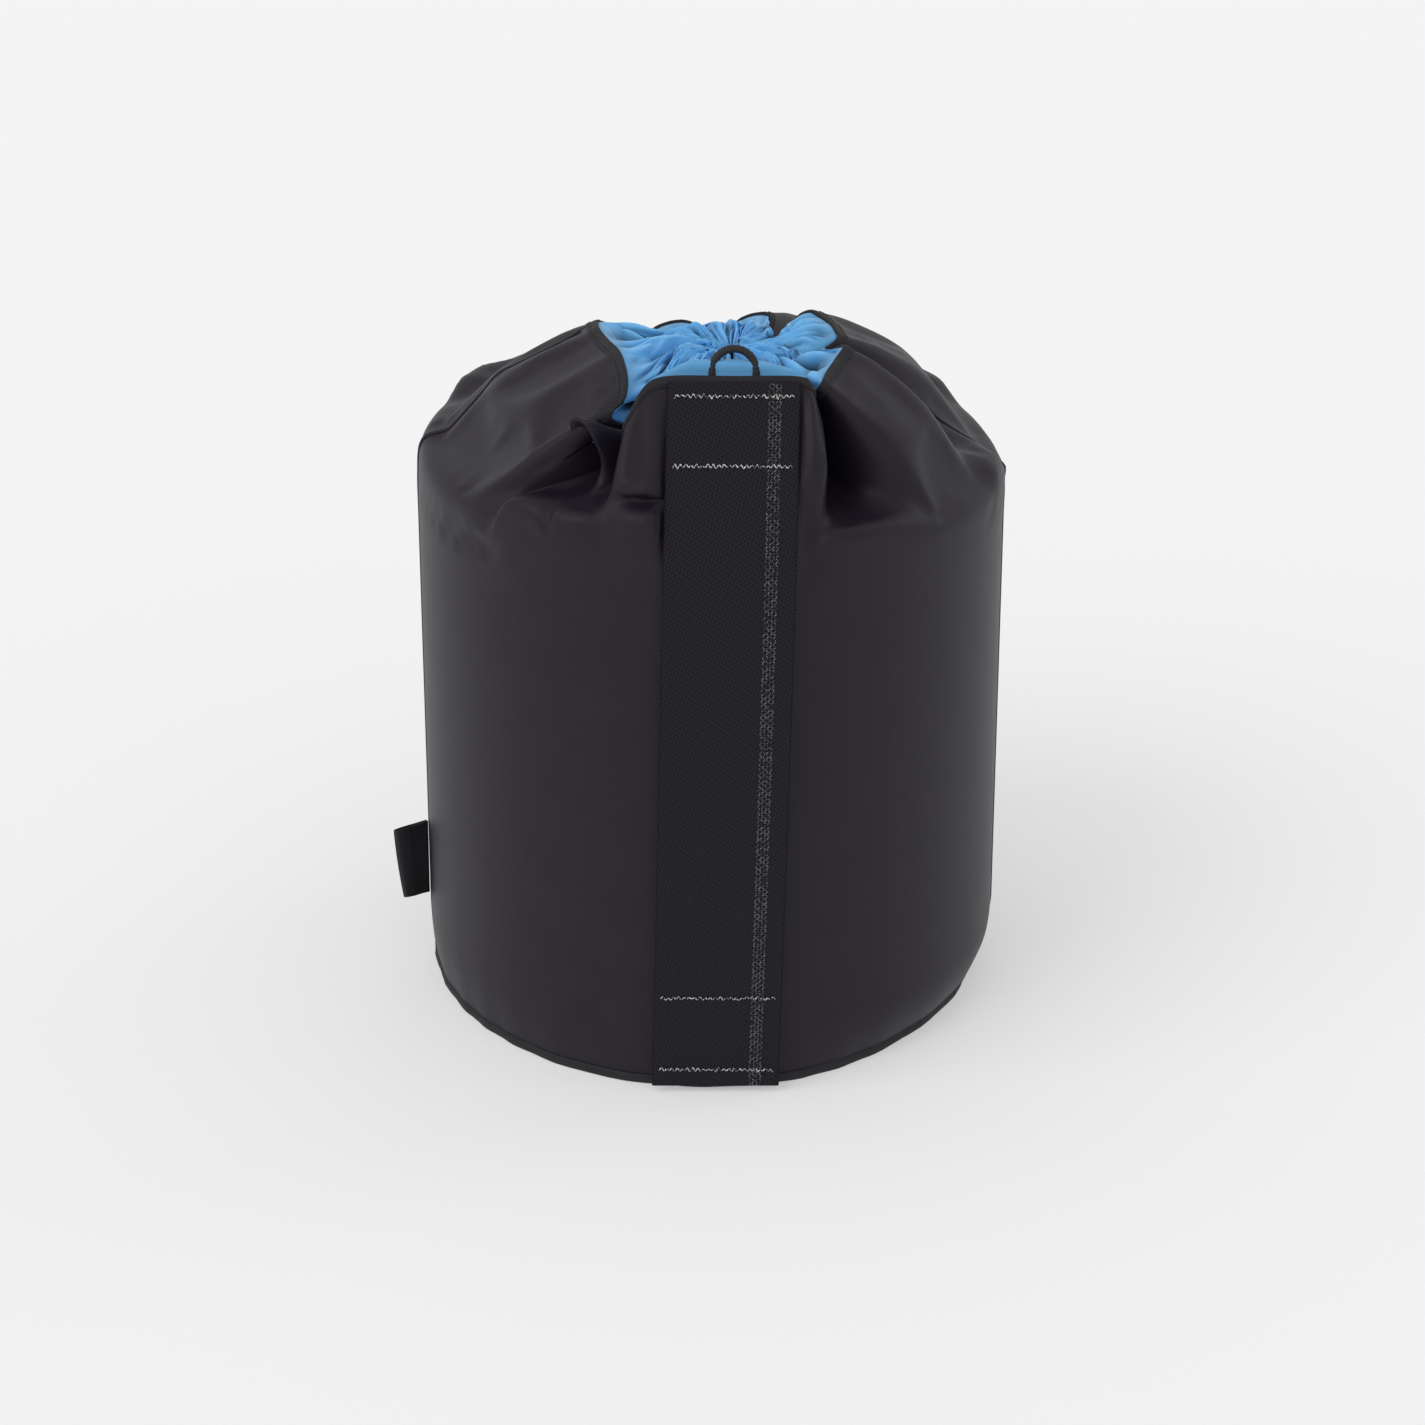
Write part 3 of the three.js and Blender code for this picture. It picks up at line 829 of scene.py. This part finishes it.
def base_lip():
    """An oval roll round the foot of the wall, a little thicker and thinner by turns."""
    around, along = 10, 360
    half_width, half_height = 0.75 * MM, 2.1 * MM
    place = np.zeros((around, along, 3))
    angle = np.arange(along) / along * 2 * math.pi
    distance = (angle + math.pi / 2) % (2 * math.pi) * wall_radius
    middle = on_wall(distance, np.full(along, 2.5 * MM)) + outward_at(angle) * 0.2 * MM
    pucker = 1 + 0.12 * np.sin(angle * 90) + 0.08 * np.sin(angle * 37 + 1)
    for i in range(around):
        tilt = 2 * math.pi * i / around
        across = half_width * math.cos(tilt) * pucker
        place[i] = middle + outward_at(angle) * across[:, None]
        place[i, :, 2] = wall_foot + half_height * math.sin(tilt)
    mesh = sleeve(around, along, place, (6 * MM, wall_round), ring=True)
    return as_piece(mesh, "base_seam_lip", black_tape)


base_seam = base_lip()
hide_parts("base_seam_binding")
print("lining, discs and lip:", [piece.name for piece in (lining, base_disc, lining_disc, base_seam)])

# %% [markdown]
# ## Collar
# The collar is a strip of light blue nylon as long as the hem is round. Its outer edge is sewn
# inside the hem and its inner edge is a channel over the elastic, which draws 730 mm of cloth into
# a ring of less than 110 mm. So the cloth stands up in puffs, and these divide into pleats and
# sharp creases. The cloth solver would smooth such creases away, so they are sculpted instead: a
# smooth sheet is drawn from the hem to the elastic, and noise then pushes it off that sheet. The
# absolute value of smooth noise has a sharp valley wherever the noise crosses zero, which is what
# a crease looks like. The noise is read on a circle, so it closes on itself round the mouth. How
# far each vertex stands off is kept as the attribute `fold`, and the finish paints light with it:
# painted shade in the creases and a painted highlight on the crests.

# %% Collar
elastic_middle = (elastic_box[0] + elastic_box[1]) / 2
elastic_radius = 1.5 * MM
elastic_ring = (elastic_box[1].x - elastic_box[0].x) / 2 - elastic_radius
collar_columns, collar_steps = 660, 44


def painted_fold_shade_finish():
    """The lining's nylon with painted light: painted shade where the folds close and a painted highlight on
    the crests.
    """
    finish = blue_nylon.copy()
    finish.name = "light_blue_nylon_painted_fold_shade"
    tree = finish.node_tree
    shader = next(item for item in tree.nodes if item.type == "BSDF_PRINCIPLED")
    fold = node(tree, "ShaderNodeAttribute", attribute_name="fold")
    # Painted shade and highlight: the attribute fold picks a deep blue in the creases and a pale blue on
    # the crests.
    tone = node(tree, "ShaderNodeMix", {"Factor": fold.outputs["Fac"], "A": linear("031c3a"),
                                        "B": linear("6fb8ee")}, data_type="RGBA")
    tree.links.new(tone.outputs["Result"], shader.inputs["Base Color"])
    return finish


fold_shaded_nylon = painted_fold_shade_finish()


def collar_lines():
    """Smooth lines from inside the hem, over the edge and down round the elastic.

    mm is each line's distance round the hem from the middle of the front, left is negative.
    """
    share = np.arange(collar_columns) / collar_columns
    along = share * wall_round
    mm = (share + 0.5) % 1 * wall_round * 1000 - wall_round * 500
    whole = np.ones(collar_columns)
    rim = on_wall(along, whole * (cloth_height - 4 * MM), whole * -1.6 * MM)
    edge = on_wall(along, whole * cloth_height, whole * -1.2 * MM)
    away = outward_at(share * 2 * math.pi - math.pi / 2 - handle_x / wall_radius)
    ring = np.array(elastic_middle)
    up = np.array([0, 0, 1.0])
    front = hump(mm, -22, -6, 14, 42)[:, None]
    behind_loop = np.array([0, 3.6 * MM, 0]) * hump(mm, -30, -18, 34, 44)[:, None]
    puffed = (1 - hump(mm, -70, -40, 50, 80))[:, None]
    lobe = hump(mm, 150, 178, 215, 238)[:, None]
    room = np.linalg.norm((edge - ring)[:, :2], axis=1, keepdims=True) - elastic_ring
    beyond = np.clip(0.35 * room, 1.5 * MM, 7 * MM)
    crest = ring + away * (elastic_ring + beyond) + up * (3.2 + 2.2 * puffed + 1.5 * lobe) * MM
    top_of_ring = ring + away * (elastic_ring + 0.5 * MM) + up * 4.4 * MM
    in_ring = ring + away * (elastic_ring - 12.0 * MM) + up * 1.6 * MM
    under_ring = ring + away * (elastic_ring - 3.5 * MM) - up * 3.6 * MM
    lift = edge + behind_loop + up * (0.5 + 4.6 * front) * MM
    brow = edge * 0.84 + crest * 0.16 + behind_loop + up * (0.3 + 4.8 * front + 1.5 * lobe) * MM
    slope = edge * 0.5 + crest * 0.5 + up * (4.5 * lobe - 1.5) * MM
    lines = [rim, edge + behind_loop * 0.7, lift, brow, slope, crest, top_of_ring, in_ring, under_ring]
    return np.stack(lines, 1), mm


def ridge(turn, step, waves, stretch, seed):
    """0 in a sharp crease and 1 on a rounded crest; waves says how many go round the mouth."""
    place = Vector((waves * math.cos(turn), waves * math.sin(turn), stretch * step + seed))
    return min(1.0, 3.0 * abs(noise.noise(place))) ** 0.75


def pleats(mm, step):
    """How far the gathered cloth stands off its smooth line, and how far it leans round the mouth.

    mm is the distance round from the middle of the front, and step goes from 0 at the hem to 1
    under the elastic. Big puffs, pleats and fine creases are added up, each fading in and out.
    The strip behind the handle stays calm, and over the elastic no valley may go deep.
    """
    turn = mm / (wall_round * 1000) * 2 * math.pi
    drift = noise.noise(Vector((1.7 * math.cos(turn), 1.7 * math.sin(turn), 2.2 * step + 7)))
    turn += 0.30 * drift * step
    puff = ridge(turn, step, 2.6, 0.6, 3.1)
    pleat = ridge(turn, step, 6.6, 1.6, 11.7)
    crease = ridge(turn, step, 16.0, 2.6, 5.3)
    calm = 1 - 0.92 * float(hump(mm, -34, -20, 34, 48)) * (1 - float(rise(step, 0.42, 0.62)))
    stand = 5.0 * (puff - 0.6) * float(hump(step, 0.14, 0.42, 0.74, 0.95))
    stand += 6.0 * (pleat - 0.6) * float(hump(step, 0.05, 0.28, 0.72, 0.95))
    stand += 3.6 * (crease - 0.6) * float(hump(step, 0.08, 0.32, 0.78, 1.0))
    lean = noise.noise(Vector((4.5 * math.cos(turn), 4.5 * math.sin(turn), 1.5 * step + 21)))
    lean *= 6.0 * float(hump(step, 0.12, 0.45, 0.72, 0.92))
    stand *= calm * (1 - 0.45 * float(hump(abs(mm), 240, 300, 366, 367)))
    deepest = -1.0 - 9 * (1 - float(rise(step, 0.5, 0.68)))
    return max(stand, deepest) * MM, lean * calm * MM


def gathered_collar():
    """The smooth lines with puffs, pleats and creases pressed into them."""
    control, mm = collar_lines()
    place = np.stack([smooth_line(line, collar_steps + 1) for line in control])
    round_mouth = np.roll(place, -1, 0) - np.roll(place, 1, 0)
    round_mouth /= np.linalg.norm(round_mouth, axis=2, keepdims=True)
    inward = np.gradient(place, axis=1)
    up = np.cross(round_mouth, inward)
    up /= np.linalg.norm(up, axis=2, keepdims=True)
    push = np.array([[pleats(m, j / collar_steps) for j in range(collar_steps + 1)] for m in mm])
    return place + up * push[..., :1] + round_mouth * push[..., 1:], push[..., 0]


collar_place, collar_stand = gathered_collar()
print("collar top, mm:", round(1000 * float(collar_place[..., 2].max()), 1))
collar_weave_length = 55 * MM
collar_mesh = cloth_grid(collar_columns, collar_steps, collar_place, (wall_round, collar_weave_length),
                         round_closed=True)
facing_up = sum(face.normal.z * face.calc_area() for face in collar_mesh.faces)
if facing_up < 0:
    bmesh.ops.reverse_faces(collar_mesh, faces=collar_mesh.faces)
# The attribute fold holds painted light: 0.74 where the cloth lies level, lower as painted shade in the
# creases, higher as a painted highlight on the crests.
level_tone, full_depth = 0.74, 5.5 * MM
fold = collar_mesh.verts.layers.float.new("fold")
in_column = collar_mesh.verts.layers.int["column"]
in_row = collar_mesh.verts.layers.int["row"]
for vert in collar_mesh.verts:
    depth = float(collar_stand[vert[in_column], vert[in_row]]) / full_depth
    vert[fold] = min(1.0, max(0.0, level_tone + depth))
collar = as_piece(collar_mesh, "collar_cloth", fold_shaded_nylon)
thicken(collar, 0.3 * MM)
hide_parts("collar")
print("collar faces:", len(collar.data.polygons))

# %% [markdown]
# ## The elastic
# The elastic's own ring has the right shape, so it keeps its solid and only gets a finish: white
# cotton-covered rubber with a fine braid.

# %% Elastic
def elastic_finish():
    finish, tree, shader = new_finish("covered_elastic", Roughness=0.8)
    place = node(tree, "ShaderNodeTexCoord").outputs["Object"]
    braid = node(tree, "ShaderNodeTexVoronoi", {"Vector": place, "Scale": 1600.0})
    tone = node(tree, "ShaderNodeMix", {"Factor": braid.outputs["Distance"], "A": linear("ebe9e3"),
                                        "B": linear("c9c6bf")}, data_type="RGBA")
    tree.links.new(tone.outputs["Result"], shader.inputs["Base Color"])
    return finish


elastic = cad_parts["mouth_elastic"]
elastic.data.materials.clear()
elastic.data.materials.append(elastic_finish())
print("elastic ring, mm:", round(2000 * elastic_ring, 1), "across")

# %% [markdown]
# ## Twill webbing finish
# Spun black yarn in a tight twill: matt, with ribs 1.37 mm apart that run steeply along the strip
# and are broken by the cross threads. The ribs give the eye fine slanting rows of light: they are
# bumped, and the grooves between them are also painted near black as painted shade.

# %% Twill webbing finish
def twill_finish(name):
    rib = 1.37 * MM
    finish, tree, shader = new_finish(name, Roughness=0.8, Specular_IOR_Level=0.25)
    flat = node(tree, "ShaderNodeUVMap", uv_map="flat").outputs["UV"]
    waves = []
    for degrees, direction in ((14, "X"), (-34, "Y")):
        turned = node(tree, "ShaderNodeMapping", {"Vector": flat,
                                                  "Rotation": (0, 0, math.radians(degrees))})
        bands = {"Vector": turned.outputs["Vector"], "Scale": math.pi / rib / 10, "Distortion": 0.0}
        waves.append(node(tree, "ShaderNodeTexWave", bands, bands_direction=direction).outputs["Fac"])
    cloth = node(tree, "ShaderNodeMath", {0: waves[0], 1: waves[1]}, operation="MAXIMUM").outputs[0]
    # Painted shade: the rib bands paint the grooves between the ribs near black; the rib tops keep the
    # yarn's own dark colour.
    tone = node(tree, "ShaderNodeMix", {"Factor": cloth, "A": linear("030204"),
                                        "B": linear("1f1b23")}, data_type="RGBA")
    tree.links.new(tone.outputs["Result"], shader.inputs["Base Color"])
    height = node(tree, "ShaderNodeBump", {"Height": cloth, "Strength": 1.0, "Distance": 0.35 * MM})
    tree.links.new(height.outputs["Normal"], shader.inputs["Normal"])
    return finish


webbing_twill = twill_finish("twill_webbing")
print("finish:", webbing_twill.name)

# %% [markdown]
# ## Webbing pieces
# Each length of the handle is a flat closed section with rounded edges, swept along the path. The
# weft turns back at both edges, which gives the selvedge a row of small loops: these are short
# threads, one to each turn. The halves of the free length stay fixed in place.

# %% Webbing pieces
def webbing_section(name, start, end):
    """A flat closed strip with rounded edges, between two distances along the handle."""
    half = webbing_width / 2
    bulge = webbing_thickness / 2
    front_side = [(x, webbing_thickness) for x in np.linspace(-half + bulge, half - bulge, 25)]
    back_side = [(x, 0.0) for x in np.linspace(half - bulge, -half + bulge, 13)]
    edge = [math.radians(a) for a in (60, 30, 0, -30, -60)]
    right_side = [(half - bulge + bulge * math.cos(a), bulge + bulge * math.sin(a)) for a in edge]
    left_side = [(-x, out) for x, out in reversed(right_side)]
    section = front_side + right_side + back_side + left_side
    steps = max(8, round((end - start) / (1.6 * MM)))
    along = np.linspace(start, end, steps + 1)
    place = np.stack([on_webbing(along, x, np.full(steps + 1, out)) for x, out in section])
    mesh = sleeve(len(section), steps, place, (1, 1))
    uv = mesh.loops.layers.uv["flat"]
    column, row = mesh.verts.layers.int["column"], mesh.verts.layers.int["row"]
    for face in mesh.faces:
        for loop in face.loops:
            loop[uv].uv = (section[loop.vert[column]][0], along[loop.vert[row]])
    return mesh


def bend_with_grip(piece):
    """Bakes the piece's placement into its mesh; the free length's halves are not bent."""
    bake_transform(piece)


def along_handle(piece, section):
    """Rides a piece of the handle with the bag, or bakes its placement if it is on the free length."""
    if section == "handle_grip_lower":
        bend_with_grip(piece)
    elif section == "handle_grip_upper":
        bend_with_grip(piece)
    else:
        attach(piece, "root")


selvedge_pitch = 1.35 * MM
for section, start, end in sections:
    strip = as_piece(webbing_section(section, start, end), section, webbing_twill, body=None)
    along_handle(strip, section)
    stands_for = {"handle_foot": ["handle_bottom"], "handle_head": ["handle_top"]}
    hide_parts(*stands_for.get(section, ["handle_grip"]))

    loops = []
    for side in (-1, 1):
        for k in range(int((end - start) / selvedge_pitch)):
            at = start + (k + 0.5) * selvedge_pitch
            edge = side * (webbing_width / 2 - 0.35 * MM)
            ends = on_webbing([at - 0.45 * selvedge_pitch, at + 0.45 * selvedge_pitch],
                              np.array([edge - side * 0.5 * MM, edge + side * 0.35 * MM]),
                              [webbing_thickness * 0.75] * 2)
            loops.append((ends[0], ends[1]))
    selvedge = thread_row(section + "_selvedge", loops, 0.9 * MM, webbing_twill, body=None)
    along_handle(selvedge, section)
print("handle sections:", [name for name, _, _ in sections])

# %% [markdown]
# ## Reflective yarn
# A stripe of reflective yarn is woven into the webbing, and the four rows of stitches are sewn
# with the same yarn. It is slit film with tiny glass beads: silver grey, with grains that flash
# bright beside others that stay dark. The bright grains are painted glints, a light base colour
# on some grains, beside darker grains of the yarn's own grey.

# %% Reflective yarn finish
def reflective_finish(name, dark, light, grain):
    finish, tree, shader = new_finish(name, Roughness=0.35, Metallic=0.3)
    place = node(tree, "ShaderNodeTexCoord").outputs["Object"]
    cells = node(tree, "ShaderNodeTexVoronoi", {"Vector": place, "Scale": 1 / grain, "Randomness": 0.9})
    flash = node(tree, "ShaderNodeSeparateColor", {"Color": cells.outputs["Color"]}).outputs["Red"]
    # Painted glints: the picked grains get a light base colour that stands in for the beads' flashes.
    picked = node(tree, "ShaderNodeMapRange", {"Value": flash, "From Min": 0.25, "From Max": 0.95})
    tone = node(tree, "ShaderNodeMix", {"Factor": picked.outputs["Result"], "A": linear(dark),
                                        "B": linear(light)}, data_type="RGBA")
    tree.links.new(tone.outputs["Result"], shader.inputs["Base Color"])
    height = node(tree, "ShaderNodeBump", {"Height": cells.outputs["Distance"], "Strength": 0.6,
                                           "Distance": grain * 0.4})
    tree.links.new(height.outputs["Normal"], shader.inputs["Normal"])
    return finish


# The second colour of each yarn is the painted glint on its brightest grains.
stripe_yarn = reflective_finish("reflective_stripe_yarn", "1a191d", "77757b", 0.7 * MM)
stitch_yarn = reflective_finish("reflective_stitch_yarn", "2a292e", "f4f4f4", 0.55 * MM)
print("finishes:", stripe_yarn.name, stitch_yarn.name)

# %% [markdown]
# ## Reflective stripe
# The stripe is a narrow net of threads: four lanes side by side, whose threads slant one way and
# the other by turns. It lies on the webbing's face, so it bends with each length of the handle.

# %% Reflective stripe
stripe_offset = 15.5 * MM
stripe_width = 5.3 * MM
stripe_lanes = 4
stripe_pitch = 1.1 * MM
stands_for = {"handle_foot": ["reflective_stripe_bottom"], "handle_head": ["reflective_stripe_top"]}
for section, start, end in sections:
    net = []
    for k in range(int((end - start) / stripe_pitch)):
        at = start + k * stripe_pitch
        for lane in range(stripe_lanes):
            low = stripe_offset + stripe_width * (lane / stripe_lanes - 0.5) + 0.1 * MM
            high = low + stripe_width / stripe_lanes - 0.2 * MM
            if (k + lane) % 2:
                low, high = high, low
            ends = on_webbing([at, at + stripe_pitch], np.array([low, high]), [webbing_thickness] * 2)
            net.append((ends[0], ends[1]))
    stripe = thread_row(section + "_stripe", net, thread_thickness, stripe_yarn,
                        body=None)
    along_handle(stripe, section)
    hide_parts(*stands_for.get(section, ["reflective_stripe_grip"]))
print("stripe lanes:", stripe_lanes)

# %% [markdown]
# ## Stitch rows
# Four rows of zigzag sewing hold the handle to the wall, two at its head and two at its foot. The
# corners of each zigzag jump a little, as they do where thick yarn is sewn through webbing.

# %% Stitch rows
row_length = 45 * MM
row_corners = 44
row_heights = [("stitch_row_1", 279.8), ("stitch_row_2", 257.4), ("stitch_row_3", 42.8),
               ("stitch_row_4", 10.4)]
jog = np.random.default_rng(5)
for name, z in row_heights:
    middle = along_at_height(z * MM)
    points = []
    for k in range(row_corners + 1):
        reach = (0.35 + 0.85 * jog.random()) * MM * (1 if k % 2 else -1)
        across = -row_length / 2 + row_length * k / row_corners + 0.3 * MM * jog.random()
        points.append(on_webbing(middle + reach, across, webbing_thickness + 0.25 * MM))
    zigzag = thread_row(name + "_thread", list(zip(points, points[1:])), thread_thickness, stitch_yarn)
    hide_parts(name)
print("stitch rows:", len(row_heights))

# %% [markdown]
# ## Hang loop
# A short braided cord, bent into an arch, with both ends sewn behind the hem above the handle. It
# leans back a little. Its diamond braid is modelled in the tube's own radius. It is fixed in place
# where it is made.

# %% Hang loop
braided_cord, _, _ = new_finish("braided_cord", Base_Color=linear("1d1c20"), Roughness=0.6,
                                Specular_IOR_Level=0.4)


def hang_loop():
    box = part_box("hang_loop")
    radius = 1.55 * MM
    braid_pitch = 0.55 * MM
    half = (box[1].x - box[0].x) / 2 - radius
    lean = math.radians(20)
    leg = 5.2 * MM
    flat_line = [(-half - 0.3 * MM, -8 * MM), (-half - 0.2 * MM, -3 * MM), (-half, leg / 2)]
    flat_line += [(-half * math.cos(a), leg + half * math.sin(a)) for a in np.linspace(0, math.pi, 9)]
    flat_line += [(-x, z) for x, z in reversed(flat_line[:3])]
    foot = Vector(((box[0].x + box[1].x) / 2, -75.4 * MM, box[0].z - 3.8 * MM))
    points = [(foot.x + x, foot.y + z * math.sin(lean), foot.z + z * math.cos(lean)) for x, z in flat_line]
    steps, around = 190, 20
    line = smooth_line(points, steps + 1)
    tangent = np.gradient(line, axis=0)
    tangent /= np.linalg.norm(tangent, axis=1, keepdims=True)
    side = np.array([0, -math.cos(lean), math.sin(lean)])
    other = np.cross(tangent, side)
    length = np.linspace(0, 1, steps + 1) * float(np.linalg.norm(np.diff(line, axis=0), axis=1).sum())
    place = np.zeros((around, steps + 1, 3))
    for i in range(around):
        tilt = 2 * math.pi * i / around
        plait = np.cos(4 * tilt + length / braid_pitch) * np.cos(4 * tilt - length / braid_pitch)
        reach = radius * (0.95 + 0.07 * plait)
        place[i] = line + (side * math.cos(tilt) + other * math.sin(tilt)) * reach[:, None]
    mesh = sleeve(around, steps, place, (2 * math.pi * radius, float(length[-1])))
    print("hang loop cord, mm:", round(1000 * float(length[-1])))
    made = as_piece(mesh, "hang_loop_cord", braided_cord, body=None)
    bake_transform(made)
    return made


loop = hang_loop()
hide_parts("hang_loop")

# %% [markdown]
# ## Side tag
# A woven label, folded in half and caught in the left seam, that sticks out forward of it. It is
# left blank. Its two leaves part slightly before the fold, and it is narrower at its foot.

# %% Side tag
tag_weave = woven_finish("woven_label", "1e1b1f", "2a262b", 0.6, 0.7 * MM, 0.4, Specular_IOR_Level=0.4)


def side_tag():
    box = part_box("side_tag")
    root = Vector((box[1].x - 0.3 * MM, -0.2 * MM, 0))
    turned = math.radians(180 + 33)
    along = Vector((math.cos(turned), math.sin(turned), 0))
    beside = Vector((-along.y, along.x, 0))
    reach, gap = 15.2 * MM, 0.55 * MM
    path = [(-1.0 * MM, gap), (4 * MM, gap * 1.1), (9 * MM, gap * 1.9), (13 * MM, gap * 1.7),
            (reach - 0.6 * MM, gap), (reach, 0), (reach - 0.6 * MM, -gap), (13 * MM, -gap * 1.4),
            (9 * MM, -gap * 1.5), (4 * MM, -gap * 1.1), (-1.0 * MM, -gap)]
    steps, rise_steps = 40, 44
    line = smooth_line([(a, b, 0) for a, b in path], steps + 1)
    place = np.zeros((steps + 1, rise_steps + 1, 3))
    for j in range(rise_steps + 1):
        level = j / rise_steps
        curl = 0.9 * MM * (level - 0.5) ** 2 * 4
        for i in range(steps + 1):
            out = float(line[i, 0]) * (0.76 + 0.24 * level)
            point = root + along * out + beside * float(line[i, 1] + curl * line[i, 0] / reach)
            tilt = 0.10 * out * (1 - level)
            height = box[0].z + 1.5 * MM + tilt + level * (box[1].z - box[0].z - 2 * MM)
            place[i, j] = (point.x, point.y, height)
    mesh = cloth_grid(steps, rise_steps, place, (31 * MM, 35 * MM))
    made = as_piece(mesh, "side_tag_label", tag_weave, body="tag")
    thicken(made, 0.45 * MM, 0)
    return made


tag = side_tag()
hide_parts("side_tag")
print("tag faces:", len(tag.data.polygons))

# %% [markdown]
# ## Sheets of cloth
# The four sheets of cloth are named below. The shell's and the lining's flat sizes are those of
# their grids. The collar's 40 mm is an estimate that was adjusted to the sculpted sheet.

# %% Sheets
print("sheets declared:", [piece.name for piece in (front_panel, back_panel, lining, collar)])
